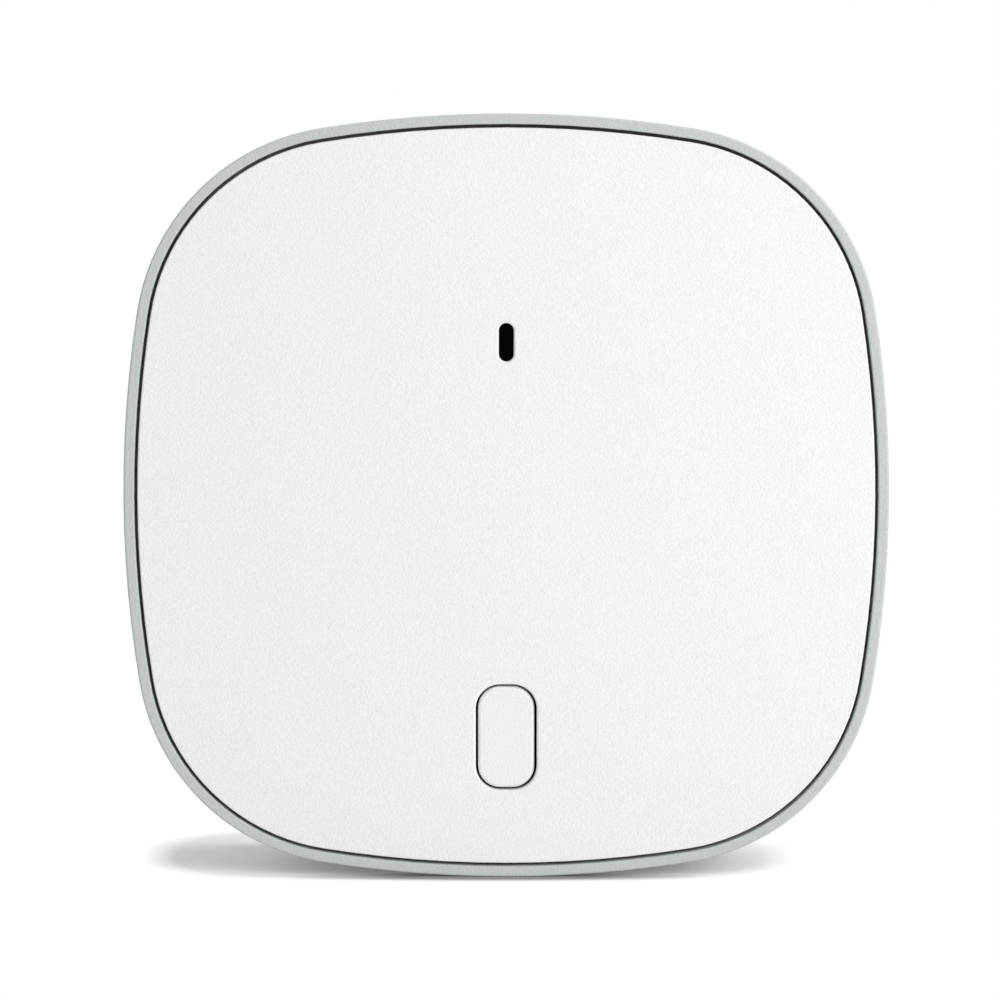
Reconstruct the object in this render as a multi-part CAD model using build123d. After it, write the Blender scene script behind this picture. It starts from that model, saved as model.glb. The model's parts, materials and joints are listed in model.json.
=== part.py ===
from build123d import *
import os
from math import atan2, degrees, sqrt

# Lengths are in millimetres. Every piece is drawn with x to the right and z up from the middle of
# the body, and with y as the depth behind the front face. At the end all of them are moved
# together, so that the origin lies under the middle of the body, at its foot.

# Body, seen from the front: a square with bowed sides and round corners
body_width = 98.0
side_bow_radius = 150.3
corner_radius = 28.1
rim_width = 1.36
seam_gap = 0.43

# Body, seen from the side
body_depth = 28.0
side_wall = 2.4
back_wall = 2.0
back_edge_radius = 6.0
rim_edge_radius = 0.3
rim_inner_radius = 0.2
opening_edge_radius = 0.25

# Front panel
panel_thickness = 2.0
panel_edge_radius = 0.2
hole_edge_radius = 0.3
skirt_gap = 0.15
skirt_thickness = 1.2
skirt_height = 4.0
gasket_thickness = 0.8
gasket_side_gap = 0.1

# Indicator slot and its light pipe
slot_width = 1.9
slot_height = 4.9
slot_drop = 29.1
pipe_gap = 0.05
pipe_recess = 0.5
pipe_flange_border = 1.2
pipe_flange_thickness = 1.0
pipe_above_led = 0.2

# Button
button_rise = 18.1
button_hole_width = 7.85
button_hole_height = 13.7
button_hole_radius = 3.15
button_gap = 0.31
button_recess = 0.4
button_edge_radius = 0.45
button_flange_border = 1.2
button_flange_thickness = 1.0
button_rest_gap = 0.1
button_seal_thickness = 0.3
button_seal_gap = 0.03
button_stem_radius = 1.5
button_guide_gap = 0.2
button_guide_thickness = 1.0
button_guide_height = 3.0

# Board and the screws that clamp it
boss_height = 8.0
boss_radius = 3.2
board_thickness = 1.6
board_inset = 7.0
screw_inset = 18.0
screw_radius = 1.5
screw_head_radius = 2.75
screw_head_height = 2.0
screw_head_chamfer = 0.5
screw_tip_length = 1.2
screw_tip_taper = 0.7
screw_tip_gap = 1.5
screw_recess_width = 0.7
screw_recess_length = 3.0
screw_recess_depth = 1.2
pilot_gap = 0.05
pilot_overrun = 0.8
screw_hole_gap = 0.25
column_radius = 3.5
well_depth = 8.0
well_head_gap = 0.65
well_wall = 1.2
well_floor = 1.5

# Posts that back the board up where the button is pressed
press_post_radius = 1.8
press_post_side = 10.0

# Tactile switch
switch_width = 6.0
switch_body_height = 3.2
switch_cover_thickness = 0.3
plunger_radius = 1.75
plunger_reach = 0.8
plunger_gap = 0.1
plunger_sink = 2.5
plunger_travel_room = 0.5
plunger_button_gap = 0.05
switch_leg_width = 0.7
switch_leg_thickness = 0.3
switch_leg_pitch = 4.5
switch_leg_root = 1.6
leg_past_board = 1.0
leg_hole_gap = 0.15

# Indicator
led_width = 3.5
led_height = 2.8
led_body_thickness = 1.1
led_lens_radius = 1.1
led_lens_thickness = 0.3

# Power inlet
inlet_width = 7.5
inlet_height = 2.5
inlet_length = 5.2
inlet_wall = 0.3
inlet_corner_radius = 0.5
inlet_past_board = 0.4
tongue_width = 3.9
tongue_thickness = 0.6
tongue_length = 3.8
plug_well_width = 12.0
plug_well_height = 8.0
plug_well_radius = 2.0
plug_well_wall = 1.4
plug_well_edge_radius = 0.4
plug_well_ceiling = 1.2
inlet_ceiling_gap = 0.2
inlet_window_gap = 0.2

# Sounder and its grille
sounder_drop = 18.0
sounder_radius = 10.0
sounder_height = 9.0
sounder_wall = 1.0
sounder_top_thickness = 1.0
sounder_disc_height = 5.0
sounder_disc_gap = 0.05
sounder_disc_thickness = 0.3
sounder_shoulder = 1.4
sounder_ceramic_radius = 6.0
sounder_ceramic_thickness = 0.25
sounder_hole_radius = 2.0
sounder_pin_radius = 0.4
sounder_pin_side = 7.5
pin_hole_gap = 0.15
collar_gap = 0.3
collar_wall = 1.2
collar_overlap = 2.0
collar_pocket_gap = 0.2
grille_radius = 9.0
grille_slot_count = 7
grille_slot_width = 1.2
grille_slot_pitch = 2.5
mesh_thickness = 0.4
mesh_gap = 0.1

# Wall bracket and the pocket that it slides in
bracket_width = 46.2
bracket_height = 34.0
bracket_proud = 0.4
bracket_corner_radius = 3.0
bracket_edge_radius = 0.4
bracket_gap = 0.2
bracket_end_gap = 0.3
bracket_overtravel = 2.0
pocket_depth = 3.2
pocket_floor = 2.0
pocket_corner_radius = 1.0
lip_height = 8.0
lip_overhang = 3.0
lip_thickness = 1.2
lip_spacing = 22.0
lip_gap = 0.2
plate_lip_gap = 0.3
wall_screw_spacing = 22.0
wall_screw_hole_radius = 2.1
wall_screw_head_radius = 4.2
wall_screw_head_depth = 1.6
relief_width = 7.0
relief_height = 24.0
relief_side = 11.5
relief_depth = 1.2
relief_radius = 2.0

# Blank label
label_width = 13.0
label_height = 40.0
label_thickness = 0.2
label_gap = 0.2
label_recess = 0.3
label_corner_radius = 1.5

# Network module, on the front of the board
module_from_side = 18.0
module_up = 8.0
module_width = 18.0
module_height = 25.5
module_thickness = 0.8
module_can_width = 15.8
module_can_height = 17.6
module_can_thickness = 2.3
module_can_drop = 2.9
module_chip_width = 5.0
can_wall = 0.2
chip_thickness = 0.9

# Door radio, on the front of the board
radio_from_side = 18.0
radio_up = 8.0
radio_can_width = 16.0
radio_can_height = 14.0
radio_can_thickness = 2.5
radio_chip_width = 4.0
antenna_from_side = 5.0
antenna_up = 4.0
antenna_length = 30.0
antenna_width = 3.0
antenna_height = 5.0
antenna_thickness = 0.4
antenna_feed = 6.0

# Chips on the back of the board
processor_up = 4.0
processor_width = 9.0
memory_spacing = 14.0
memory_width = 5.2
memory_height = 5.0
memory_thickness = 1.5
lead_count = 4
lead_pitch = 1.27
lead_width = 0.4
lead_reach = 1.2
lead_thickness = 0.2
lead_rise = 0.8
crystal_spacing = 10.0
crystal_width = 3.2
crystal_height = 2.5
crystal_thickness = 0.8
regulator_spacing = 10.0
regulator_width = 6.5
regulator_height = 3.5
regulator_thickness = 1.6
inductor_from_side = 20.0
inductor_up = -14.0
inductor_width = 6.0
inductor_thickness = 3.0
inductor_corner_radius = 1.2

# Round capacitors, on the back of the board
capacitor_from_side = 26.0
capacitor_from_bottom = 22.0
capacitor_count = 2
capacitor_pitch = 8.5
capacitor_radius = 3.15
capacitor_height = 7.0
capacitor_base_width = 6.6
capacitor_base_height = 1.0

# Rows of small parts, on the back of the board
small_part_count = 6
small_part_pitch = 2.6
small_part_width = 0.8
small_part_height = 1.6
resistor_thickness = 0.5
ceramic_thickness = 0.8
resistor_side = 10.0
resistor_up = -5.0
ceramic_side = -16.0
ceramic_up = -8.0

# Service header, on the back of the board
header_from_side = 9.0
header_up = -13.0
header_pin_count = 4
header_pitch = 2.54
header_width = 2.5
header_height = 2.5
header_pin_width = 0.64
header_pin_length = 8.5

# Depths and places that follow from the sizes above
half_width = body_width / 2
ledge_depth = panel_thickness + gasket_thickness
skirt_end = panel_thickness + skirt_height
board_front = panel_thickness + boss_height
board_back = board_front + board_thickness
inner_back = body_depth - back_wall
screw_seat = body_depth - well_depth
screw_tip = panel_thickness + screw_tip_gap
well_radius = screw_head_radius + well_head_gap
pocket_base = body_depth - pocket_depth
bracket_front = pocket_base + bracket_gap
bracket_travel = lip_height + bracket_overtravel
lip_front = body_depth - lip_thickness
bracket_back = body_depth + bracket_proud
board_half = half_width - board_inset
board_bottom = -board_half
inlet_mouth = board_bottom - inlet_past_board
inlet_depth = board_back + inlet_height / 2
ceiling_top = inlet_mouth - inlet_ceiling_gap
ceiling_bottom = ceiling_top - plug_well_ceiling
cover_front = board_front - switch_body_height - switch_cover_thickness
plunger_front = cover_front - plunger_reach
plunger_back = cover_front + plunger_sink
led_front = board_front - led_body_thickness - led_lens_thickness
total_depth = body_depth + bracket_proud
slot_up = half_width - slot_drop
button_up = button_rise - half_width
button_seal_front = panel_thickness + button_rest_gap
button_flange_front = button_seal_front + button_seal_thickness
button_flange_back = button_flange_front + button_flange_thickness
button_cap_width = button_hole_width - 2 * button_gap
button_cap_height = button_hole_height - 2 * button_gap
button_cap_radius = button_hole_radius - button_gap
sounder_up = half_width - sounder_drop
collar_radius = sounder_radius + collar_gap + collar_wall
pocket_top = sounder_up - collar_radius - collar_pocket_gap - pocket_floor
bracket_up = pocket_top - bracket_end_gap - bracket_height / 2
pocket_half = bracket_width / 2 + bracket_gap
label_side = -(pocket_half + half_width - back_edge_radius) / 2
module_side = module_from_side - board_half
header_side = header_from_side - board_half
capacitor_side = capacitor_from_side - board_half
capacitor_up = capacitor_from_bottom - board_half
radio_side = board_half - radio_from_side
antenna_side = board_half - antenna_from_side
inductor_side = board_half - inductor_from_side
regulator_side = inductor_side - regulator_spacing


def bowed_square(inset=0.0):
    """The body's outline, moved in by a wall or a gap: four bowed sides joined by corner arcs."""
    half = half_width - inset
    bow = side_bow_radius - inset
    corner = corner_radius - inset
    past = bow - half
    corner_place = (sqrt(2 * (bow - corner) ** 2 - past ** 2) - past) / 2
    join = degrees(atan2(corner_place, corner_place + past))
    arcs = []
    for quarter in range(4):
        turn = Rot(0, 0, 90 * quarter)
        arcs.append(turn * CenterArc((-past, 0), bow, -join, 2 * join))
        arcs.append(turn * CenterArc((corner_place, corner_place), corner, join, 90 - 2 * join))
    return make_face(arcs)


def layer(outline, front, back):
    """An outline drawn in x and z, made solid from one depth to another."""
    return extrude(Plane.XZ.offset(-front) * outline, amount=front - back)


def disc(side, up, radius, front, back):
    return layer(Pos(side, up) * Circle(radius), front, back)


def block(side, up, width, height, front, back):
    return layer(Pos(side, up) * Rectangle(width, height), front, back)


def rounded_block(side, up, width, height, radius, front, back):
    return layer(Pos(side, up) * RectangleRounded(width, height, radius), front, back)


def upright_slot(side, up, width, height, front, back):
    """A slot with half-round ends."""
    return layer(Pos(side, up) * Rot(0, 0, 90) * SlotOverall(height, width), front, back)


def row(count, pitch):
    """Places of a row of like things, spread evenly about its middle."""
    return [(number - (count - 1) / 2) * pitch for number in range(count)]


def front_edges(solid):
    return solid.faces().sort_by(Axis.Y)[0].edges()


def back_edges(solid):
    return solid.faces().sort_by(Axis.Y)[-1].edges()


def opening_edges(face):
    """Edges of every hole and pocket in a face."""
    return [edge for wire in face.inner_wires() for edge in wire.edges()]


def front_opening_edges(solid):
    return opening_edges(solid.faces().sort_by(Axis.Y)[0])


def back_opening_edges(solid):
    return opening_edges(solid.faces().sort_by(Axis.Y)[-1])


def screw_places():
    reach = half_width - screw_inset
    return [(side * reach, up * reach) for side in (-1, 1) for up in (-1, 1)]


def switch_leg_places():
    reach = (switch_width + switch_leg_thickness) / 2
    return [(side * reach, up) for side in (-1, 1) for up in row(2, switch_leg_pitch)]


def outer_form():
    form = layer(bowed_square(), 0, body_depth)
    form = fillet(back_edges(form), back_edge_radius)
    return fillet(front_edges(form), rim_edge_radius)


def screw_column(side, up):
    """A column from the back wall to the board, wide enough near the back for a screw head's well."""
    column = disc(side, up, column_radius, board_back, inner_back)
    return column + disc(side, up, well_radius + well_wall, screw_seat - well_floor, inner_back)


def screw_well(side, up):
    well = disc(side, up, well_radius, screw_seat, body_depth)
    return well + disc(side, up, screw_radius + screw_hole_gap, board_back, screw_seat)


def plug_well_block(form):
    """Walls and ceiling of the well for the power lead's plug, cut off by the body's own form."""
    width = plug_well_width + 2 * plug_well_wall
    depth = plug_well_height + 2 * plug_well_wall
    height = half_width + ceiling_top
    return form & block(0, ceiling_top - height / 2, width, height,
                        inlet_depth - depth / 2, inlet_depth + depth / 2)


def plug_well():
    well = RectangleRounded(plug_well_width, plug_well_height, plug_well_radius)
    window = RectangleRounded(inlet_width + 2 * inlet_window_gap, inlet_height + 2 * inlet_window_gap,
                              inlet_corner_radius + inlet_window_gap)
    base = Pos(0, inlet_depth, -half_width)
    return (extrude(base * well, amount=half_width + ceiling_bottom)
            + extrude(base * window, amount=half_width + ceiling_top))


def plug_well_mouth_edges(solid):
    """Edges of the plug well in the outer half of the bottom wall."""
    reach_across = (plug_well_width + plug_well_wall) / 2
    reach_deep = (plug_well_height + plug_well_wall) / 2
    return [edge for edge in solid.edges()
            if edge.center().Z < -half_width + side_wall / 2
            and abs(edge.center().X) < reach_across
            and abs(edge.center().Y - inlet_depth) < reach_deep]


def bracket_pocket_outline(border=0.0):
    width = 2 * (pocket_half + border)
    height = bracket_height + bracket_travel + 2 * bracket_end_gap + 2 * border
    outline = RectangleRounded(width, height, pocket_corner_radius + border)
    return Pos(0, bracket_up - bracket_travel / 2) * outline


def bracket_lips():
    reach = pocket_half - lip_overhang / 2
    return [block(side * reach, bracket_up + up, lip_overhang, lip_height, lip_front, body_depth)
            for side in (-1, 1) for up in row(2, lip_spacing)]


def grille_slots():
    """Upright slots, cut off by a circle."""
    return [upright_slot(across, sounder_up, grille_slot_width, 2 * sqrt(grille_radius ** 2 - across ** 2),
                         inner_back, body_depth)
            for across in row(grille_slot_count, grille_slot_pitch)]


def rear_housing():
    form = outer_form()
    cavity = layer(bowed_square(side_wall), 0, inner_back)
    cavity = fillet(back_edges(cavity), back_edge_radius - side_wall)
    cavity += layer(bowed_square(rim_width), 0, ledge_depth)
    housing = form - cavity
    housing = fillet(front_opening_edges(housing), rim_inner_radius)
    housing += plug_well_block(form)
    housing += layer(bracket_pocket_outline(pocket_floor), pocket_base - pocket_floor, inner_back)
    collar_front = board_back + sounder_height - collar_overlap
    collar = disc(0, sounder_up, collar_radius, collar_front, inner_back)
    housing += collar - disc(0, sounder_up, collar_radius - collar_wall, collar_front, inner_back)
    for side in (-1, 1):
        housing += disc(side * press_post_side, button_up, press_post_radius, board_back, inner_back)
    for place in screw_places():
        housing += screw_column(*place)
    for place in screw_places():
        housing -= screw_well(*place)
    housing -= plug_well()
    housing = fillet(plug_well_mouth_edges(housing), plug_well_edge_radius)
    housing -= layer(bracket_pocket_outline(), pocket_base, body_depth)
    for lip in bracket_lips():
        housing += lip
    for slot in grille_slots():
        housing -= slot
    housing = fillet(back_opening_edges(housing), opening_edge_radius)
    recess = RectangleRounded(label_width + 2 * label_gap, label_height + 2 * label_gap,
                              label_corner_radius + label_gap)
    return housing - layer(Pos(label_side, 0) * recess, body_depth - label_recess, body_depth)


def front_panel():
    panel = layer(bowed_square(rim_width + seam_gap), 0, panel_thickness)
    panel = fillet(front_edges(panel), panel_edge_radius)
    panel -= rounded_block(0, button_up, button_hole_width, button_hole_height,
                           button_hole_radius, 0, panel_thickness)
    panel -= upright_slot(0, slot_up, slot_width, slot_height, 0, panel_thickness)
    panel = fillet(front_opening_edges(panel), hole_edge_radius)
    skirt_inset = side_wall + skirt_gap
    skirt = layer(bowed_square(skirt_inset), panel_thickness, skirt_end)
    panel += skirt - layer(bowed_square(skirt_inset + skirt_thickness), panel_thickness, skirt_end)
    for place in screw_places():
        panel += disc(*place, boss_radius, panel_thickness, board_front)
        panel -= disc(*place, screw_radius + pilot_gap, screw_tip - pilot_overrun, board_front)
    return panel + button_guide()


def button_guide():
    """A collar on the panel's back that keeps the button's flange straight."""
    room = button_flange_border - button_gap + button_guide_gap
    radius = button_hole_radius + room
    width = button_hole_width + 2 * room
    height = button_hole_height + 2 * room
    guide_end = panel_thickness + button_guide_height
    guide = rounded_block(0, button_up, width + 2 * button_guide_thickness,
                          height + 2 * button_guide_thickness, radius + button_guide_thickness,
                          panel_thickness, guide_end)
    return guide - rounded_block(0, button_up, width, height, radius, panel_thickness, guide_end)


def panel_gasket():
    ring = layer(bowed_square(rim_width + gasket_side_gap), panel_thickness, ledge_depth)
    return ring - layer(bowed_square(side_wall), panel_thickness, ledge_depth)


def button_layer(border, front, back):
    """The button's outline, moved out by a border, from one depth to another."""
    return rounded_block(0, button_up, button_cap_width + 2 * border, button_cap_height + 2 * border,
                         button_cap_radius + border, front, back)


def front_button():
    """Cap, flange behind the panel and a stem that reaches to the switch."""
    cap = button_layer(0, button_recess, button_flange_back)
    cap = fillet(front_edges(cap), button_edge_radius)
    flange = button_layer(button_flange_border, button_flange_front, button_flange_back)
    stem = disc(0, button_up, button_stem_radius, button_flange_back, plunger_front - plunger_button_gap)
    return cap + flange + stem


def button_seal():
    """A foam ring on the flange, round the cap, that closes the gap from behind."""
    ring = button_layer(button_flange_border, button_seal_front, button_flange_front)
    return ring - button_layer(button_seal_gap, button_seal_front, button_flange_front)


def light_pipe():
    """A window with half-round ends in the slot, and a flange behind the panel."""
    pipe = upright_slot(0, slot_up, slot_width - 2 * pipe_gap, slot_height - 2 * pipe_gap,
                        pipe_recess, led_front - pipe_above_led)
    return pipe + upright_slot(0, slot_up, slot_width + 2 * pipe_flange_border,
                               slot_height + 2 * pipe_flange_border,
                               panel_thickness, panel_thickness + pipe_flange_thickness)


def case_screw(side, up):
    head = disc(side, up, screw_head_radius, screw_seat, screw_seat + screw_head_height)
    head = chamfer(back_edges(head), screw_head_chamfer)
    shank = disc(side, up, screw_radius, screw_tip, screw_seat)
    shank = chamfer(front_edges(shank), screw_tip_length, screw_tip_taper)
    recess_front = screw_seat + screw_head_height - screw_recess_depth
    recess_back = screw_seat + screw_head_height
    upright = block(side, up, screw_recess_width, screw_recess_length, recess_front, recess_back)
    level = block(side, up, screw_recess_length, screw_recess_width, recess_front, recess_back)
    return head + shank - upright - level


def case_screws():
    return [case_screw(*place) for place in screw_places()]


def wall_bracket():
    """Plate with four ears that hook behind the pocket's lips, and two holes for wall screws."""
    plate_width = 2 * (pocket_half - lip_overhang - plate_lip_gap)
    plate = rounded_block(0, bracket_up, plate_width, bracket_height, bracket_corner_radius,
                          bracket_front, bracket_back)
    plate = fillet(back_edges(plate), bracket_edge_radius)
    for up in row(2, lip_spacing):
        plate += block(0, bracket_up + up, bracket_width, lip_height,
                       bracket_front, lip_front - lip_gap)
    for side in (-1, 1):
        plate -= rounded_block(side * relief_side, bracket_up, relief_width, relief_height,
                               relief_radius, bracket_back - relief_depth, bracket_back)
    for up in row(2, wall_screw_spacing):
        plate -= disc(0, bracket_up + up, wall_screw_hole_radius, bracket_front, bracket_back)
        plate -= disc(0, bracket_up + up, wall_screw_head_radius, bracket_front,
                      bracket_front + wall_screw_head_depth)
    return fillet(back_opening_edges(plate), opening_edge_radius)


def rating_label():
    sticker_front = body_depth - label_recess
    return rounded_block(label_side, 0, label_width, label_height, label_corner_radius,
                         sticker_front, sticker_front + label_thickness)


def grille_mesh():
    radius = sounder_radius + collar_gap - mesh_gap
    return disc(0, sounder_up, radius, inner_back - mesh_thickness, inner_back)


def main_board():
    board = layer(bowed_square(board_inset), board_front, board_back)
    for place in screw_places():
        board -= disc(*place, screw_radius + screw_hole_gap, board_front, board_back)
    for side, up in switch_leg_places():
        board -= disc(side, up + button_up, switch_leg_width / 2 + leg_hole_gap,
                      board_front, board_back)
    for side in (-1, 1):
        board -= disc(side * sounder_pin_side, sounder_up, sounder_pin_radius + pin_hole_gap,
                      board_front, board_back)
    for up in row(header_pin_count, header_pitch):
        board -= disc(header_side, header_up + up, header_pin_width / sqrt(2) + pin_hole_gap,
                      board_front, board_back)
    return board


def shield_can(side, up, width, height, thickness, seat):
    """A thin metal box with no bottom, standing on its seat towards the front."""
    can = block(side, up, width, height, seat - thickness, seat)
    return can - block(side, up, width - 2 * can_wall, height - 2 * can_wall,
                       seat - thickness + can_wall, seat)


def module_can_place():
    return module_side, module_up - module_can_drop


def module_seat():
    return board_front - module_thickness


def wifi_module_board():
    return block(module_side, module_up, module_width, module_height, module_seat(), board_front)


def wifi_shield_can():
    return shield_can(*module_can_place(), module_can_width, module_can_height,
                      module_can_thickness, module_seat())


def wifi_chip():
    return block(*module_can_place(), module_chip_width, module_chip_width,
                 module_seat() - chip_thickness, module_seat())


def radio_shield_can():
    return shield_can(radio_side, radio_up, radio_can_width, radio_can_height,
                      radio_can_thickness, board_front)


def radio_chip():
    return block(radio_side, radio_up, radio_chip_width, radio_chip_width,
                 board_front - chip_thickness, board_front)


def radio_antenna():
    """A stamped strip held off the board by two bent legs."""
    strip_front = board_front - antenna_height
    strip = block(antenna_side, antenna_up, antenna_width, antenna_length,
                  strip_front, strip_front + antenna_thickness)
    lower_end = antenna_up - antenna_length / 2 + antenna_thickness / 2
    for up in (lower_end, lower_end + antenna_feed):
        strip += block(antenna_side, up, antenna_width, antenna_thickness, strip_front, board_front)
    return strip


def processor_chip():
    return block(0, processor_up, processor_width, processor_width,
                 board_back, board_back + chip_thickness)


def memory_chip():
    return block(memory_spacing, processor_up, memory_width, memory_height,
                 board_back + lead_thickness / 2, board_back + lead_thickness / 2 + memory_thickness)


def memory_chip_leads():
    """Bent leads, each flat on the board and up against the chip's side."""
    leads = []
    for side in (-1, 1):
        for up in row(lead_count, lead_pitch):
            foot = block(memory_spacing + side * (memory_width + lead_reach) / 2, processor_up + up,
                         lead_reach, lead_width, board_back, board_back + lead_thickness)
            riser = block(memory_spacing + side * (memory_width + lead_thickness) / 2, processor_up + up,
                          lead_thickness, lead_width, board_back, board_back + lead_rise)
            leads.append(foot + riser)
    return leads


def crystal():
    return block(-crystal_spacing, processor_up, crystal_width, crystal_height,
                 board_back, board_back + crystal_thickness)


def regulator_chip():
    return block(regulator_side, inductor_up, regulator_width, regulator_height,
                 board_back, board_back + regulator_thickness)


def power_inductor():
    return rounded_block(inductor_side, inductor_up, inductor_width, inductor_width,
                         inductor_corner_radius, board_back, board_back + inductor_thickness)


def electrolytic_capacitors():
    capacitors = []
    for across in row(capacitor_count, capacitor_pitch):
        side = capacitor_side + across
        base_back = board_back + capacitor_base_height
        base = block(side, capacitor_up, capacitor_base_width, capacitor_base_width,
                     board_back, base_back)
        can = disc(side, capacitor_up, capacitor_radius, base_back, board_back + capacitor_height)
        capacitors.append(base + can)
    return capacitors


def small_part_row(middle_side, middle_up, thickness):
    return [block(middle_side + across, middle_up, small_part_width, small_part_height,
                  board_back, board_back + thickness)
            for across in row(small_part_count, small_part_pitch)]


def chip_resistors():
    return small_part_row(resistor_side, resistor_up, resistor_thickness)


def chip_capacitors():
    return small_part_row(ceramic_side, ceramic_up, ceramic_thickness)


def inlet_solid(width, height, radius, start, end):
    """A solid along z about the middle of the power inlet."""
    outline = RectangleRounded(width, height, radius)
    return extrude(Pos(0, inlet_depth, start) * outline, amount=end - start)


def usb_shell():
    end = inlet_mouth + inlet_length
    shell = inlet_solid(inlet_width, inlet_height, inlet_corner_radius, inlet_mouth, end)
    return shell - inlet_solid(inlet_width - 2 * inlet_wall, inlet_height - 2 * inlet_wall,
                               inlet_corner_radius - inlet_wall, inlet_mouth, end)


def usb_tongue():
    """Insulator that closes the shell's far end and carries the contact tongue."""
    end = inlet_mouth + inlet_length
    base = inlet_solid(inlet_width - 2 * inlet_wall, inlet_height - 2 * inlet_wall,
                       inlet_corner_radius - inlet_wall, end - inlet_wall, end)
    tongue = Pos(0, inlet_depth, end - inlet_wall) * Rectangle(tongue_width, tongue_thickness)
    return base + extrude(tongue, amount=-tongue_length)


def switch_body():
    body = block(0, button_up, switch_width, switch_width,
                 board_front - switch_body_height, board_front)
    return body - disc(0, button_up, plunger_radius + plunger_gap,
                       cover_front, plunger_back + plunger_travel_room)


def switch_cover():
    cover = block(0, button_up, switch_width, switch_width,
                  cover_front, cover_front + switch_cover_thickness)
    return cover - disc(0, button_up, plunger_radius + plunger_gap,
                        cover_front, cover_front + switch_cover_thickness)


def switch_plunger():
    return disc(0, button_up, plunger_radius, plunger_front, plunger_back)


def switch_legs():
    return [block(side, up + button_up, switch_leg_thickness, switch_leg_width,
                  board_front - switch_leg_root, board_back + leg_past_board)
            for side, up in switch_leg_places()]


def sounder_case():
    """Round case, open towards the board, with a shoulder for the disc and a sound hole."""
    top = board_back + sounder_height
    case = disc(0, sounder_up, sounder_radius, board_back, top)
    case -= disc(0, sounder_up, sounder_radius - sounder_wall, board_back,
                 board_back + sounder_disc_height)
    case -= disc(0, sounder_up, sounder_radius - sounder_wall - sounder_shoulder, board_back,
                 top - sounder_top_thickness)
    return case - disc(0, sounder_up, sounder_hole_radius, board_back, top)


def disc_front():
    return board_back + sounder_disc_height - sounder_disc_thickness


def sounder_disc():
    radius = sounder_radius - sounder_wall - sounder_disc_gap
    return disc(0, sounder_up, radius, disc_front(), disc_front() + sounder_disc_thickness)


def sounder_ceramic():
    return disc(0, sounder_up, sounder_ceramic_radius,
                disc_front() - sounder_ceramic_thickness, disc_front())


def sounder_pins():
    return [disc(side * sounder_pin_side, sounder_up, sounder_pin_radius,
                 board_front - leg_past_board, disc_front()) for side in (-1, 1)]


def led_package():
    return block(0, slot_up, led_width, led_height, board_front - led_body_thickness, board_front)


def led_lens():
    return disc(0, slot_up, led_lens_radius, led_front, led_front + led_lens_thickness)


def header_block():
    length = header_pin_count * header_pitch
    body = block(header_side, header_up, header_width, length, board_back, board_back + header_height)
    for up in row(header_pin_count, header_pitch):
        body -= block(header_side, header_up + up, header_pin_width, header_pin_width,
                      board_back, board_back + header_height)
    return body


def header_pins():
    return [block(header_side, header_up + up, header_pin_width, header_pin_width,
                  board_front - leg_past_board, board_back + header_pin_length)
            for up in row(header_pin_count, header_pitch)]


pieces = [
    rear_housing, front_panel, panel_gasket, front_button, button_seal, light_pipe, case_screws,
    wall_bracket, rating_label, grille_mesh, main_board,
    wifi_module_board, wifi_chip, wifi_shield_can, radio_chip, radio_shield_can, radio_antenna,
    processor_chip, memory_chip, memory_chip_leads, crystal,
    regulator_chip, power_inductor, electrolytic_capacitors, chip_resistors, chip_capacitors,
    usb_shell, usb_tongue, switch_body, switch_cover, switch_plunger, switch_legs,
    sounder_case, sounder_disc, sounder_ceramic, sounder_pins,
    led_package, led_lens, header_block, header_pins,
]

os.makedirs("parts", exist_ok=True)
to_foot = Pos(0, -total_depth / 2, half_width)
for piece in pieces:
    made = piece()
    solids = made if isinstance(made, list) else made.solids()
    placed = [to_foot * solid for solid in solids]
    shape = placed[0] if len(placed) == 1 else Compound(children=placed)
    export_step(shape, os.path.join("parts", piece.__name__ + ".step"))
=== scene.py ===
import json
import math

import bmesh
import bpy
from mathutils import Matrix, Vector

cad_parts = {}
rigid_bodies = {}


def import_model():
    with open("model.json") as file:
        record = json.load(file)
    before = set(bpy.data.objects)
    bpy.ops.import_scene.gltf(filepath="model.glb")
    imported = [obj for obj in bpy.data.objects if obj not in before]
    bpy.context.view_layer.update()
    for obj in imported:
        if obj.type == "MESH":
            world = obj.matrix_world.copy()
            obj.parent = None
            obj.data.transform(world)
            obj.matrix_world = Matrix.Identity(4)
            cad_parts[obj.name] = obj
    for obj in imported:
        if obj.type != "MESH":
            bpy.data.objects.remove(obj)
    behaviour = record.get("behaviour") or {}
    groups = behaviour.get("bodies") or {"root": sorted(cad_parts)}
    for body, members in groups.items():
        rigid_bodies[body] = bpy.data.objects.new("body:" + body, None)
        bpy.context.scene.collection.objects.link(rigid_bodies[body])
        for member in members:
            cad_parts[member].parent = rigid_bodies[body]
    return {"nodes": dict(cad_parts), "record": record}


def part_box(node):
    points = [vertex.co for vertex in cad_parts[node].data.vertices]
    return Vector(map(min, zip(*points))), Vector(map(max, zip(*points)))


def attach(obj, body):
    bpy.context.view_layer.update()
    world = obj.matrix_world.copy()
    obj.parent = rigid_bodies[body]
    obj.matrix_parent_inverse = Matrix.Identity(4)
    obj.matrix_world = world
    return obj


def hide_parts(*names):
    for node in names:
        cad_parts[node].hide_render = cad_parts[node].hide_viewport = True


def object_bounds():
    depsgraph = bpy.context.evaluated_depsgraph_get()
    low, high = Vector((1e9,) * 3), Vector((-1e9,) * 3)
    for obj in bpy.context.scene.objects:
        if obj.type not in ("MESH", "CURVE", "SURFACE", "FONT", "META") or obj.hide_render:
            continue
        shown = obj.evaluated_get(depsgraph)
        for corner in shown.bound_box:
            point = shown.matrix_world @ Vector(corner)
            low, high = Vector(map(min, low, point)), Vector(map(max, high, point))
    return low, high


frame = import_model()
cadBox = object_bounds()
nodes = frame["nodes"]
scene = bpy.context.scene
mm = 0.001
print("stage: frame loaded,", len(nodes), "nodes")


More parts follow.
